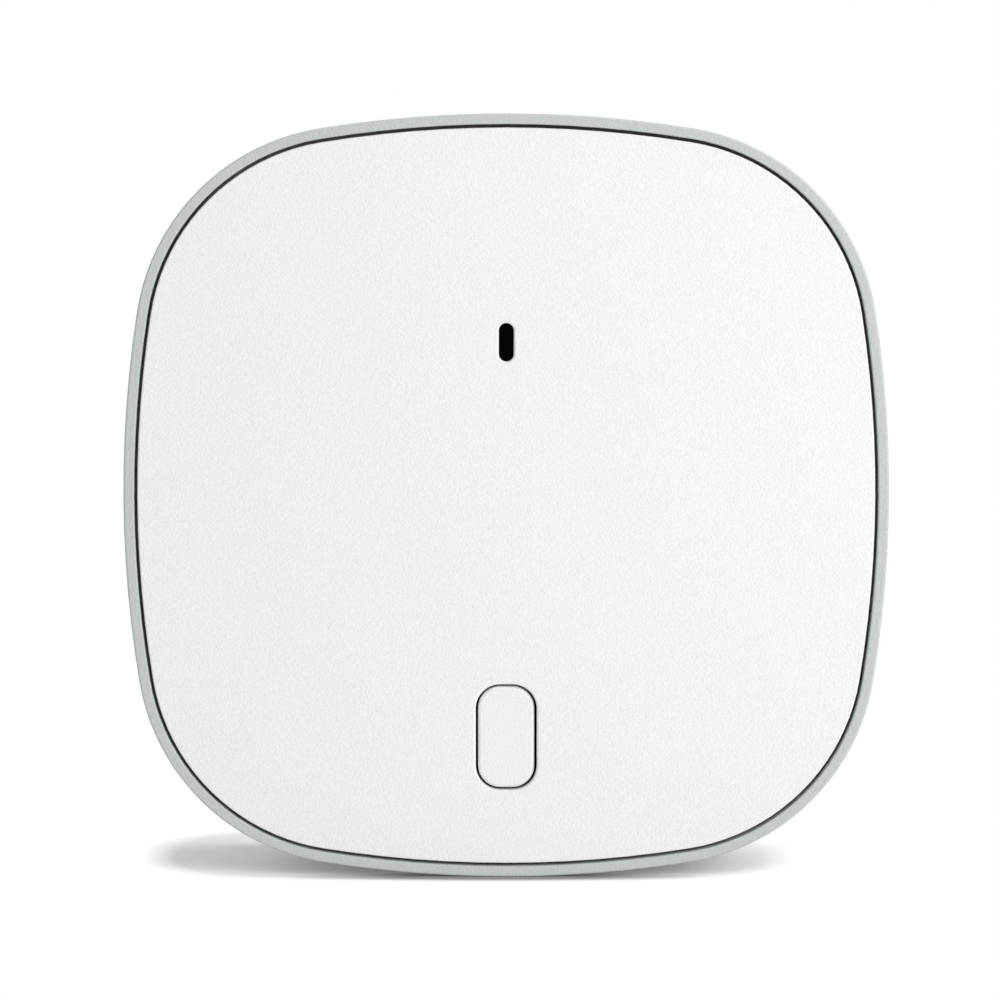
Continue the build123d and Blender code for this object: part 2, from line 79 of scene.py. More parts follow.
# A Wire is one output socket, and sums on wires add Math nodes to its tree
class Wire:
    def __init__(self, home, socket):
        self.home = home
        self.socket = socket

    def maths(self, operation, *others, turned=False):
        values = [self, *others]
        if turned:
            values.reverse()
        return self.home.add("ShaderNodeMath", {"operation": operation}, values)

    # Another output of the same node
    def beside(self, output):
        return Wire(self.home, self.socket.node.outputs[output])

    def __add__(self, other):
        return self.maths("ADD", other)

    def __sub__(self, other):
        return self.maths("SUBTRACT", other)

    def __rsub__(self, other):
        return self.maths("SUBTRACT", other, turned=True)

    def __mul__(self, other):
        return self.maths("MULTIPLY", other)

    __radd__, __rmul__ = __add__, __mul__

    def __truediv__(self, other):
        return self.maths("DIVIDE", other)

    def __floordiv__(self, other):
        return self.maths("DIVIDE", other).maths("FLOOR")

    def __mod__(self, other):
        return self.maths("MODULO", other)

    def __pow__(self, other):
        return self.maths("POWER", other)

    def __abs__(self):
        return self.maths("ABSOLUTE")

    def __gt__(self, other):
        return self.maths("GREATER_THAN", other)

    def __lt__(self, other):
        return self.maths("LESS_THAN", other)


# What shaders and Geometry Nodes share
class NodeHome:
    # One node of any kind: settings first, then its sockets by name or in order. A list gives one socket
    # several links
    def add(self, kind, settings=None, sockets=None, output=0):
        node = self.tree.nodes.new(kind)
        for setting, value in (settings or {}).items():
            setattr(node, setting, value)
        named = sockets.items() if isinstance(sockets, dict) else enumerate(sockets or [])
        for key, value in named:
            for one in value if isinstance(value, list) else [value]:
                if isinstance(one, Wire):
                    self.tree.links.new(one.socket, node.inputs[key])
                else:
                    node.inputs[key].default_value = one
        return Wire(self, node.outputs[output])

    def point(self, x=0.0, y=0.0, z=0.0):
        return self.add("ShaderNodeCombineXYZ", None, [x, y, z])

    def split(self, vector):
        first = self.add("ShaderNodeSeparateXYZ", None, [vector])
        return [first.beside(axis) for axis in "XYZ"]


class Shader(NodeHome):
    usualNoise = (0.3, 0.7)  # most of a noise's values lie between these

    def __init__(self, name, world=False):
        self.owner = (bpy.data.worlds if world else bpy.data.materials).new(name)
        self.owner.use_nodes = True
        self.tree = self.owner.node_tree
        self.tree.nodes.clear()

    def place(self):
        return self.add("ShaderNodeTexCoord", output="Object")

    def noise(self, size, detail=2.0, stretch=(1.0, 1.0, 1.0), shift=0.0):
        place = self.add("ShaderNodeMapping", None, {
            "Vector": self.place(), "Location": (shift, 0.0, 0.0), "Scale": stretch})
        return self.add("ShaderNodeTexNoise", None, {"Vector": place, "Scale": 1 / size, "Detail": detail})

    # A value moved from one range to another and kept inside it
    def ranged(self, value, fromLow, fromHigh, toLow, toHigh):
        return self.add("ShaderNodeMapRange", {"clamp": True}, {
            "Value": value, "From Min": fromLow, "From Max": fromHigh, "To Min": toLow, "To Max": toHigh})

    def mixColour(self, share, first, second):
        return self.add("ShaderNodeMix", {"data_type": "RGBA"}, {0: share, 6: first, 7: second}, output=2)

    # A colour, darker or lighter by a share of itself
    def mottled(self, share, colour, mottle):
        return self.mixColour(share, tinted(colour, 1 - mottle), tinted(colour, 1 + mottle))

    # Roughness that goes a little up and down with a noise
    def uneven(self, share, roughness, spread):
        return self.ranged(share, *self.usualNoise, roughness - spread, roughness + spread)

    def bump(self, height, depth):
        return self.add("ShaderNodeBump", None, {"Height": height, "Distance": depth})

    # 1 in what the camera, a reflection or a clear piece shows, 0 in light that bounces about
    def seen(self):
        direct = self.add("ShaderNodeLightPath", output="Is Camera Ray")
        clear = direct.beside("Is Transmission Ray")
        return direct.maths("MAXIMUM", direct.beside("Is Glossy Ray").maths("MAXIMUM", clear))

    def end(self, wire, kind="Material"):
        output = self.tree.nodes.new("ShaderNodeOutput" + kind)
        self.tree.links.new(wire.socket, output.inputs["Surface"])
        return self.owner

    def principled(self, sockets):
        return self.end(self.add("ShaderNodeBsdfPrincipled", None, sockets))


def srgb(red, green, blue):
    def linear(level):
        share = level / 255
        return share / 12.92 if share <= 0.04045 else ((share + 0.055) / 1.055) ** 2.4
    return (linear(red), linear(green), linear(blue), 1.0)


def grey(level):
    return (level, level, level, 1.0)


def tinted(colour, gain):
    return tuple(min(1.0, part * gain) for part in colour[:3]) + (1.0,)


plasticSpread, metalSpread = 0.05, 0.08  # how far roughness goes up and down
lineShare = 0.6  # how much of a metal's shade is its lines, the rest is blotches


# Moulded plastic: spark grain in the tool gives fine specks over a shallow bump, and a faint cloud
# A look may also ask for painted shade: each grain's flanks painted lighter and darker, as if lit from the
# right
def mouldedPlastic(name, look):
    shader = Shader(name)
    stretch = look.get("grainStretch", (1.0, 1.0, 1.0))
    fine = shader.noise(look["grainSize"], detail=1.0, stretch=stretch)
    cloud = shader.noise(look["cloudSize"], detail=3.0)
    speck = fine
    if "paintedFlankShift" in look:  # painted shade: one flank of each grain lighter, the other darker, as if lit from the right
        left, right = (shader.noise(look["grainSize"], detail=1.0, stretch=stretch, shift=shift)
                       for shift in (-look["paintedFlankShift"], look["paintedFlankShift"]))
        speck = fine + look["paintedFlankGain"] * (left - right)
    share = speck * look["grainTint"] + cloud * (1 - look["grainTint"])
    return shader.principled({
        "Base Color": shader.mottled(share, srgb(*look["colour"]), look["mottle"]),
        "Roughness": shader.uneven(fine, look["roughness"], plasticSpread),
        "Normal": shader.bump(fine, look["grainDepth"]), "IOR": look["ior"],
        "Specular IOR Level": look.get("gloss", 0.5)})


# The face look, and the housing and button looks made from it, paint shade onto each grain's flanks
faceLook = {"colour": (243, 243, 243), "grainSize": 0.3 * mm, "grainStretch": (1.1, 1.0, 1.25),
            "paintedFlankShift": 0.06 * mm, "paintedFlankGain": 1.8, "grainDepth": 0.012 * mm, "grainTint": 0.95,
            "cloudSize": 9 * mm, "mottle": 0.085, "roughness": 0.55, "ior": 1.46}
housingLook = {**faceLook, "colour": (198, 202, 203), "grainDepth": 0.04 * mm, "cloudSize": 8 * mm,
               "roughness": 0.6}
buttonLook = {**faceLook, "cloudSize": 4 * mm, "mottle": 0.08, "roughness": 0.42}
bracketLook = {"colour": (176, 180, 184), "grainSize": 0.3 * mm, "grainDepth": 0.02 * mm, "grainTint": 0.6,
               "cloudSize": 7 * mm, "mottle": 0.03, "roughness": 0.62, "ior": 1.46}
gasketLook = {"colour": (108, 108, 109), "grainSize": 0.2 * mm, "grainDepth": 0.01 * mm, "grainTint": 0.5,
              "cloudSize": 3 * mm, "mottle": 0.08, "roughness": 0.8, "ior": 1.5}
foamLook = {"colour": (12, 12, 12), "grainSize": 0.12 * mm, "grainDepth": 0.02 * mm, "grainTint": 0.7,
            "cloudSize": 2 * mm, "mottle": 0.1, "roughness": 0.9, "ior": 1.4, "gloss": 0.1}
windowLook = {"colour": (3, 3, 4), "grainSize": 0.4 * mm, "grainDepth": 0.002 * mm, "grainTint": 0.5,
              "cloudSize": 2 * mm, "mottle": 0.05, "roughness": 0.4, "ior": 1.45, "gloss": 0.012}
blackPartLook = {"colour": (26, 26, 28), "grainSize": 0.15 * mm, "grainDepth": 0.006 * mm, "grainTint": 0.6,
                 "cloudSize": 2 * mm, "mottle": 0.08, "roughness": 0.5, "ior": 1.5}
chipLook = {"colour": (38, 38, 41), "grainSize": 0.12 * mm, "grainDepth": 0.008 * mm, "grainTint": 0.7,
            "cloudSize": 2 * mm, "mottle": 0.1, "roughness": 0.65, "ior": 1.5}
ceramicLook = {"colour": (226, 216, 196), "grainSize": 0.2 * mm, "grainDepth": 0.006 * mm, "grainTint": 0.6,
               "cloudSize": 3 * mm, "mottle": 0.04, "roughness": 0.7, "ior": 1.5}
resistorLook = {"colour": (30, 31, 36), "grainSize": 0.1 * mm, "grainDepth": 0.004 * mm, "grainTint": 0.6,
                "cloudSize": 1 * mm, "mottle": 0.1, "roughness": 0.4, "ior": 1.5}
tanCapacitorLook = {"colour": (158, 122, 84), "grainSize": 0.1 * mm, "grainDepth": 0.004 * mm,
                    "grainTint": 0.6, "cloudSize": 1 * mm, "mottle": 0.08, "roughness": 0.45, "ior": 1.5}
ledBodyLook = {"colour": (236, 236, 230), "grainSize": 0.15 * mm, "grainDepth": 0.003 * mm, "grainTint": 0.6,
               "cloudSize": 1 * mm, "mottle": 0.03, "roughness": 0.4, "ior": 1.5}


# Satin label film, with a thin printed frame and empty rows on it
labelLook = {"colour": (228, 229, 230), "ink": (120, 123, 126), "frameInset": 1.3 * mm,
             "frameCorner": 1.2 * mm, "lineWidth": 0.22 * mm, "rows": (-0.3, 0.12, 0.42),
             "cloudSize": 12 * mm, "cloudDepth": 0.01 * mm, "mottle": 0.02, "roughness": 0.36}


def labelFilm(name, look):
    shader = Shader(name)
    low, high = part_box("rating_label")
    middle, half = (low + high) / 2, (high - low) / 2
    across, _, up = shader.split(shader.place())
    up = up - middle.z
    fromSide = abs(across - middle.x) - (half.x - look["frameInset"])
    fromEnd = abs(up) - (half.z - look["frameInset"])
    edge = fromSide.maths("SMOOTH_MAX", fromEnd, look["frameCorner"])
    ink = abs(edge) < look["lineWidth"] / 2
    for row in look["rows"]:
        line = abs(up - half.z * row) < look["lineWidth"] / 2
        ink = ink.maths("MAXIMUM", line * (edge < 0.0))
    cloud = shader.noise(look["cloudSize"], detail=3.0)
    film = shader.mottled(cloud, srgb(*look["colour"]), look["mottle"])
    return shader.principled({
        "Base Color": shader.mixColour(ink, film, srgb(*look["ink"])), "Roughness": look["roughness"],
        "Normal": shader.bump(cloud, look["cloudDepth"])})


# Metal: rolling or brushing lines along one axis, with faint blotches
def brushedMetal(name, look):
    shader = Shader(name)
    lines = shader.noise(look["lineSize"], detail=3.0, stretch=look["lineScale"])
    share = lines * lineShare + shader.noise(look["blotchSize"]) * (1 - lineShare)
    return shader.principled({
        "Base Color": shader.mottled(share, srgb(*look["colour"]), look["mottle"]),
        "Roughness": shader.uneven(share, look["roughness"], metalSpread),
        "Metallic": 1.0, "Normal": shader.bump(lines, look["lineDepth"])})


zincLook = {"colour": (196, 198, 202), "lineScale": (1, 1, 0.15), "lineSize": 0.12 * mm,
            "lineDepth": 0.004 * mm, "blotchSize": 0.8 * mm, "mottle": 0.12, "roughness": 0.32}
tinLook = {"colour": (206, 206, 204), "lineScale": (1, 1, 0.1), "lineSize": 0.15 * mm,
           "lineDepth": 0.002 * mm, "blotchSize": 2 * mm, "mottle": 0.08, "roughness": 0.28}
nickelLook = {"colour": (200, 196, 190), "lineScale": (1, 1, 0.1), "lineSize": 0.1 * mm,
              "lineDepth": 0.002 * mm, "blotchSize": 1 * mm, "mottle": 0.06, "roughness": 0.24}
goldLook = {"colour": (232, 190, 104), "lineScale": (1, 1, 0.2), "lineSize": 0.1 * mm,
            "lineDepth": 0.001 * mm, "blotchSize": 0.5 * mm, "mottle": 0.05, "roughness": 0.2}
brassLook = {"colour": (214, 178, 98), "lineScale": (1, 1, 0.1), "lineSize": 0.2 * mm,
             "lineDepth": 0.002 * mm, "blotchSize": 3 * mm, "mottle": 0.08, "roughness": 0.3}
canLook = {"colour": (212, 212, 214), "lineScale": (0.1, 1, 1), "lineSize": 0.2 * mm,
           "lineDepth": 0.002 * mm, "blotchSize": 3 * mm, "mottle": 0.06, "roughness": 0.3}


# Green lacquer over copper: blocks of upright or level tracks, poured areas, tinned through holes, and a
# white printed outline round each of the larger parts, on the part's own side of the board
boardLook = {"mask": (22, 92, 52), "track": (40, 122, 74), "tin": (204, 202, 196), "hole": 0.01,
             "depth": 0.035 * mm, "trackPitch": 0.9 * mm, "trackShare": 0.45, "trackTint": 0.8,
             "blockSize": 9 * mm, "blockSpread": 0.85, "pouredShare": 0.3, "viaPitch": 3.2 * mm,
             "viaSpread": 0.8, "viaShare": 0.45, "viaRadius": 0.32 * mm, "viaBore": 0.15 * mm,
             "weave": 0.5 * mm, "roughness": 0.32, "coat": 0.4, "print": (222, 226, 220),
             "printWidth": 0.18 * mm,
             "printGaps": {"processor_chip": 0.9 * mm, "memory_chip_leads": 0.5 * mm, "crystal": 0.8 * mm,
                           "regulator_chip": 1.7 * mm, "power_inductor": 0.9 * mm, "header_block": 0.7 * mm,
                           "electrolytic_capacitors": 0.8 * mm, "wifi_module_board": 0.9 * mm,
                           "radio_shield_can": 0.7 * mm, "switch_body": 0.9 * mm, "led_package": 0.8 * mm}}


def boardLaminate(name, look):
    shader = Shader(name)
    across, away, up = shader.split(shader.place())
    flat = shader.point(across, up)

    # Scattered cells: how many sizes a point is from its cell's middle, and two picks for the cell
    def cells(size, metric, spread):
        distance = shader.add("ShaderNodeTexVoronoi", {"voronoi_dimensions": "2D", "distance": metric}, {
            "Vector": flat, "Scale": 1 / size, "Randomness": spread}, output="Distance")
        first, second, _ = shader.split(distance.beside("Color"))
        return distance, first, second

    level, upright = [(line / look["trackPitch"]).maths("FRACT") < look["trackShare"]
                      for line in (up, across)]
    _, way, poured = cells(look["blockSize"], "CHEBYCHEV", look["blockSpread"])
    turned = way < 0.5
    tracks = (upright * turned + level * (1 - turned)).maths("MAXIMUM", poured < look["pouredShare"])
    sizes, kept, _ = cells(look["viaPitch"], "EUCLIDEAN", look["viaSpread"])
    fromVia = sizes * look["viaPitch"]
    drilled = kept < look["viaShare"]
    bore = (fromVia < look["viaBore"]) * drilled
    tinned = (fromVia < look["viaRadius"]) * drilled - bore

    low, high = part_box("main_board")
    onBack = away > (low.y + high.y) / 2
    printed = 0.0
    for node, gap in look["printGaps"].items():
        partLow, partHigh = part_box(node)
        middle, half = (partLow + partHigh) / 2, (partHigh - partLow) / 2
        past = abs(across - middle.x) - (half.x + gap)
        pastEnd = abs(up - middle.z) - (half.z + gap)
        line = abs(past.maths("MAXIMUM", pastEnd)) < look["printWidth"] / 2
        printed += line * (onBack if middle.y > low.y else 1 - onBack)

    weave = shader.noise(look["weave"], detail=1.0)
    share = tracks * look["trackTint"] + weave * (1 - look["trackTint"])
    lacquer = shader.mixColour(share, srgb(*look["mask"]), srgb(*look["track"]))
    lacquer = shader.mixColour(printed.maths("MINIMUM", 1.0), lacquer, srgb(*look["print"]))
    plated = shader.mixColour(tinned, lacquer, srgb(*look["tin"]))
    return shader.principled({
        "Base Color": shader.mixColour(bore, plated, grey(look["hole"])), "Metallic": tinned,
        "Roughness": look["roughness"], "Normal": shader.bump(tracks + tinned, look["depth"]),
        "Coat Weight": look["coat"]})


# Clear yellow gel over the indicator's chip
gelLook = {"colour": (236, 190, 60), "speckSize": 0.1 * mm, "speckShade": 0.8, "roughness": 0.15,
           "coat": 0.6}


def ledGel(name, look):
    shader = Shader(name)
    colour = srgb(*look["colour"])
    speck = shader.noise(look["speckSize"], detail=1.0)
    return shader.principled({
        "Base Color": shader.mixColour(speck, colour, tinted(colour, look["speckShade"])),
        "Roughness": look["roughness"], "Coat Weight": look["coat"]})


finishes = {
    "housing_plastic": mouldedPlastic("housingPlastic", housingLook),
    "panel_plastic": mouldedPlastic("facePlastic", faceLook),
    "button_plastic": mouldedPlastic("buttonPlastic", buttonLook),
    "gasket_rubber": mouldedPlastic("gasketRubber", gasketLook),
    "seal_foam": mouldedPlastic("sealFoam", foamLook),
    "smoked_plastic": mouldedPlastic("smokedWindow", windowLook),
    "screw_steel": brushedMetal("zincPlatedSteel", zincLook),
    "bracket_plastic": mouldedPlastic("bracketPlastic", bracketLook),
    "label_film": labelFilm("labelFilm", labelLook),
    "dust_mesh": mouldedPlastic("meshWire", blackPartLook),
    "board_laminate": boardLaminate("boardLaminate", boardLook),
    "can_metal": brushedMetal("tinnedCan", canLook),
    "lead_metal": brushedMetal("tinnedLead", tinLook),
    "chip_black": mouldedPlastic("chipEpoxy", chipLook),
    "connector_steel": brushedMetal("nickelShell", nickelLook),
    "connector_plastic": mouldedPlastic("connectorPlastic", blackPartLook),
    "brass_sheet": brushedMetal("rolledBrass", brassLook),
    "white_ceramic": mouldedPlastic("firedCeramic", ceramicLook),
    "capacitor_can": brushedMetal("capacitorCan", canLook),
    "resistor_body": mouldedPlastic("resistorGlaze", resistorLook),
    "capacitor_body": mouldedPlastic("tanCeramic", tanCapacitorLook),
    "led_body": mouldedPlastic("ledBody", ledBodyLook),
    "led_gel": ledGel("ledGel", gelLook),
}
gold = brushedMetal("goldContact", goldLook)

for part in frame["record"]["subparts"]:
    node = nodes[part["node"]]
    for place in range(len(node.data.materials)):
        node.data.materials[place] = finishes[part["material_slot"]]
print("stage: finishes on", len(nodes), "nodes")


def linked(name, data):
    piece = bpy.data.objects.new(name, data)
    scene.collection.objects.link(piece)
    return piece


# The plain mesh that an object's modifiers make
def evaluatedMesh(piece):
    bpy.context.view_layer.update()
    graph = bpy.context.evaluated_depsgraph_get()
    return bpy.data.meshes.new_from_object(piece.evaluated_get(graph))


# Geometry Nodes: a Sprout is one tree, made and baked on its own object
class Sprout(NodeHome):
    def __init__(self, name, inputs):
        self.name = name
        self.values = inputs
        self.tree = bpy.data.node_groups.new(name + "Tree", "GeometryNodeTree")
        kinds = {float: "NodeSocketFloat", int: "NodeSocketInt", bpy.types.Object: "NodeSocketObject"}
        self.ids = {}
        for label, value in inputs.items():
            socket = self.tree.interface.new_socket(label, in_out="INPUT", socket_type=kinds[type(value)])
            self.ids[label] = socket.identifier
        self.tree.interface.new_socket("Geometry", in_out="OUTPUT", socket_type="NodeSocketGeometry")
        self.entry = self.tree.nodes.new("NodeGroupInput")

    def given(self, label):
        return Wire(self, self.entry.outputs[label])

    # The object given under a label, as one instance
    def model(self, label):
        return self.add("GeometryNodeObjectInfo", None, {"Object": self.given(label), "As Instance": True},
                        output="Geometry")

    def moved(self, geometry, place=(0.0, 0.0, 0.0), turn=(0.0, 0.0, 0.0)):
        return self.add("GeometryNodeTransform", None, {
            "Geometry": geometry, "Translation": place, "Rotation": turn})

    def joined(self, geometries):
        return self.add("GeometryNodeJoinGeometry", None, {"Geometry": geometries})

    def placed(self, points, instance, turn=(0.0, 0.0, 0.0)):
        return self.add("GeometryNodeInstanceOnPoints", None, {
            "Points": points, "Instance": instance, "Rotation": turn})

    # A row across, centred, with the tree's own Count and Pitch
    def row(self, instance):
        count, pitch = self.given("Count"), self.given("Pitch")
        line = self.add("GeometryNodeMeshLine", None, {
            "Count": count, "Start Location": self.point((count - 1.0) * (pitch * -0.5)),
            "Offset": self.point(pitch)})
        return self.placed(line, instance)

    # Ends the tree, evaluates it and leaves a plain mesh object with no modifier, creased past an angle
    def bake(self, geometry, material, crease=180):
        smooth = self.add("GeometryNodeSetShadeSmooth", None, {"Geometry": geometry, "Shade Smooth": True})
        bend = self.add("GeometryNodeInputMeshEdgeAngle", output="Unsigned Angle")
        shaded = self.add("GeometryNodeSetShadeSmooth", {"domain": "EDGE"}, {
            "Geometry": smooth, "Selection": bend > math.radians(crease), "Shade Smooth": False})
        real = self.add("GeometryNodeRealizeInstances", None, [shaded])
        painted = self.add("GeometryNodeSetMaterial", None, {"Geometry": real, "Material": material})
        result = self.tree.nodes.new("NodeGroupOutput")
        self.tree.links.new(painted.socket, result.inputs["Geometry"])
        seed = linked(self.name + "Seed", bpy.data.meshes.new(self.name + "Seed"))
        modifier = seed.modifiers.new(self.name, "NODES")
        modifier.node_group = self.tree
        for label, value in self.values.items():
            modifier[self.ids[label]] = value
        mesh = evaluatedMesh(seed)
        mesh.name = self.name
        bpy.data.objects.remove(seed)
        print("stage:", self.name, len(mesh.polygons), "faces")
        return linked(self.name, mesh)


# A closed mesh from rings of points, each joined to the next, with both ends filled
def stackedRings(name, rings):
    mesh = bpy.data.meshes.new(name)
    sides = len(rings[0])
    points = [point for ring in rings for point in ring]
    faces = [tuple(reversed(range(sides))), tuple(range(len(points) - sides, len(points)))]
    for start in range(0, len(points) - sides, sides):
        faces += [(start + side, start + (side + 1) % sides, start + sides + (side + 1) % sides,
                   start + sides + side) for side in range(sides)]
    mesh.from_pydata(points, [], faces)
    form = bmesh.new()
    form.from_mesh(mesh)
    bmesh.ops.recalc_face_normals(form, faces=form.faces)
    form.to_mesh(mesh)
    form.free()
    return linked(name, mesh)


# A solid turned about Y, from pairs of radius and place along
def turnedSolid(name, profile, sides):
    turns = [math.tau * side / sides for side in range(sides)]
    return stackedRings(name, [[(radius * math.cos(turn), along, radius * math.sin(turn)) for turn in turns]
                               for radius, along in profile])


# A solid with one outline, drawn at each place along Y at its own scale
def outlineSolid(name, outline, levels):
    return stackedRings(name, [[(x * scale, along, z * scale) for x, z in outline]
                               for along, scale in levels])


def quarterTurn(steps):
    return [math.pi / 2 * step / steps for step in range(steps + 1)]


# Joins a tool to a solid or cuts it out of one, and leaves a plain mesh
def combined(solid, tool, operation):
    modifier = solid.modifiers.new("combine", "BOOLEAN")
    modifier.operation = operation
    modifier.solver = "EXACT"
    modifier.object = tool
    mesh = evaluatedMesh(solid)
    solid.modifiers.clear()
    solid.data = mesh
    bpy.data.objects.remove(tool)
    return solid


# Case screws: pan heads with a tapered cross recess, and a thread that cuts its own way
caseScrews = {"headRadius": 2.75 * mm, "headHeight": 2.0 * mm, "rimHeight": 0.8 * mm, "flatRadius": 1.3 * mm,
              "domeSteps": 8, "underRadius": 0.15 * mm, "coreRadius": 1.12 * mm, "tipLength": 1.6 * mm,
              "tipRadius": 0.35 * mm, "neck": 1.2 * mm, "neckTaper": 0.7, "sides": 48,
              "threadRadius": 1.48 * mm, "pitch": 1.1 * mm, "threadFoot": 0.32 * mm, "threadSides": 28,
              "threadFrom": 0.5, "threadTo": 0.8, "threadRoot": 0.85, "tipRoot": 0.55, "firstCrest": 0.35,
              "crestFlat": 0.12, "recessReach": 1.55 * mm, "recessHalf": 0.36 * mm, "recessDepth": 1.25 * mm,
              "recessOver": 0.2, "recessTaper": 0.42, "crease": 32, "seed": 4}


def screwBlank(look, length):
    seat = length - look["headHeight"]
    rim = seat + look["rimHeight"]
    core, neck = look["coreRadius"], look["threadRadius"]
    head, under = look["headRadius"], look["underRadius"]
    profile = [(look["tipRadius"], 0.0), (core, look["tipLength"]), (core, seat - look["neck"]),
               (neck, seat - look["neck"] * look["neckTaper"]), (neck, seat - under), (neck + under, seat),
               (head - under, seat), (head, seat + under), (head, rim)]
    for angle in quarterTurn(look["domeSteps"])[1:]:
        profile.append((look["flatRadius"] + (head - look["flatRadius"]) * math.cos(angle),
                        rim + (look["headHeight"] - look["rimHeight"]) * math.sin(angle)))
    return turnedSolid("screwBlank", profile, look["sides"])


# The ridge winds up the shank: its root widens along the tip, and its crest fades in over one turn and out
# over half of one
def screwThread(look, length):
    start = look["tipLength"] * look["threadFrom"]
    end = length - look["headHeight"] - look["neck"] * look["threadTo"]
    turnSteps = look["threadSides"]
    steps = int((end - start) / look["pitch"] * turnSteps)
    foot, flat = look["threadFoot"], look["threadFoot"] * look["crestFlat"]
    rings = []
    for step in range(steps + 1):
        along = start + (end - start) * step / steps
        turn = math.tau * (along - start) / look["pitch"]
        fade = min(1.0, step / turnSteps, (steps - step) / turnSteps * 2)
        widening = look["tipRoot"] + (1 - look["tipRoot"]) * (along - start) / look["tipLength"] * 2
        root = look["coreRadius"] * look["threadRoot"] * min(1.0, widening)
        rise = look["firstCrest"] + (1 - look["firstCrest"]) * fade
        crest = root + (look["threadRadius"] - root) * rise
        rings.append([(radius * math.cos(turn), along + shift, radius * math.sin(turn))
                      for radius, shift in ((root, -foot), (crest, -flat), (crest, flat), (root, foot))])
    return stackedRings("screwThread", rings)


def screwRecess(look, length):
    reach, half = look["recessReach"], look["recessHalf"]
    outline = []
    for cosine, sine in ((1, 0), (0, 1), (-1, 0), (0, -1)):
        outline += [(x * cosine - z * sine, x * sine + z * cosine)
                    for x, z in ((reach, -half), (reach, half), (half, half))]
    over = look["recessOver"] * look["recessDepth"]
    slope = (1 - look["recessTaper"]) / look["recessDepth"]
    return outlineSolid("screwRecess", outline, [
        (length + over, 1 + slope * over), (length - look["recessDepth"], look["recessTaper"])])


def makeCaseScrews(look):
    low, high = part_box("case_screws")
    centre = (low + high) / 2
    length = high.y - low.y
    screw = combined(screwBlank(look, length), screwThread(look, length), "UNION")
    screw = combined(screw, screwRecess(look, length), "DIFFERENCE")
    sprout = Sprout("caseScrews", {
        "Screw": screw, "Spacing Across": high.x - low.x - 2 * look["headRadius"],
        "Spacing Up": high.z - low.z - 2 * look["headRadius"], "Seed": look["seed"]})
    grid = sprout.add("GeometryNodeMeshGrid", None, {
        "Size X": sprout.given("Spacing Across"), "Size Y": sprout.given("Spacing Up"),
        "Vertices X": 2, "Vertices Y": 2})
    upright = sprout.moved(grid, (centre.x, low.y, centre.z), (math.pi / 2, 0.0, 0.0))
    lastTurn = sprout.add("FunctionNodeRandomValue", {"data_type": "FLOAT"}, {
        "Min": 0.0, "Max": math.pi / 2, "Seed": sprout.given("Seed")}, output="Value")
    screws = sprout.placed(upright, sprout.model("Screw"), sprout.point(0.0, lastTurn, 0.0))
    piece = sprout.bake(screws, finishes["screw_steel"], look["crease"])
    bpy.data.objects.remove(screw)
    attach(piece, "hub")
    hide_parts("case_screws")


makeCaseScrews(caseScrews)


# Dust mesh behind the grille: two sets of wires that pass over and under each other
dustMesh = {"pitch": 0.62 * mm, "wireRadius": 0.1 * mm, "edgeGap": 0.1 * mm, "wireSides": 5, "bendSteps": 3}


def makeDustMesh(look):
    low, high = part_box("grille_mesh")
    reach = (high.x - low.x) / 2 - look["edgeGap"]
    sprout = Sprout("dustMesh", {"Pitch": look["pitch"], "Wire Radius": look["wireRadius"], "Reach": reach,
                                 "Count": 2 * int(reach / look["pitch"]) + 3})
    count, wireRadius = sprout.given("Count"), sprout.given("Wire Radius")
    span = sprout.given("Pitch") * (count - 1.0)
    grid = sprout.add("GeometryNodeMeshGrid", None, {
        "Size X": span, "Size Y": span, "Vertices X": count, "Vertices Y": count})
    fromMiddle = sprout.add("ShaderNodeVectorMath", {"operation": "LENGTH"}, [
        sprout.add("GeometryNodeInputPosition")], output="Value")
    outside = fromMiddle > sprout.given("Reach")
    index = sprout.add("GeometryNodeInputIndex")
    odd = (index // count + index % count) % 2.0
    rise = (odd * 2.0 - 1.0) * wireRadius
    end = sprout.add("GeometryNodeInputMeshEdgeVertices", output="Position 1")
    run = sprout.split(sprout.add("ShaderNodeVectorMath", {"operation": "SUBTRACT"}, [
        end, end.beside("Position 2")]))
    profile = sprout.add("GeometryNodeCurvePrimitiveCircle", None, {
        "Resolution": look["wireSides"], "Radius": wireRadius})
    wires = []
    for axis, way in ((0, 1.0), (1, -1.0)):
        waved = sprout.add("GeometryNodeSetPosition", None, {
            "Geometry": grid, "Offset": sprout.point(0.0, 0.0, rise * way)})
        crossing = abs(run[axis]) > sprout.given("Pitch") / 2.0
        family = sprout.add("GeometryNodeDeleteGeometry", {"domain": "EDGE"}, [waved, crossing])
        inside = sprout.add("GeometryNodeDeleteGeometry", {"domain": "POINT"}, [family, outside])
        curve = sprout.add("GeometryNodeMeshToCurve", None, [inside])
        smooth = sprout.add("GeometryNodeCurveSplineType", {"spline_type": "CATMULL_ROM"}, {"Curve": curve})
        finer = sprout.add("GeometryNodeSetSplineResolution", None, {
            "Geometry": smooth, "Resolution": look["bendSteps"]})
        wires.append(sprout.add("GeometryNodeCurveToMesh", None, {
            "Curve": finer, "Profile Curve": profile, "Fill Caps": True}))
    upright = sprout.moved(sprout.joined(wires), (low + high) / 2, (math.pi / 2, 0.0, 0.0))
    piece = sprout.bake(upright, finishes["dust_mesh"])
    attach(piece, "hub")
    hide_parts("grille_mesh")


makeDustMesh(dustMesh)


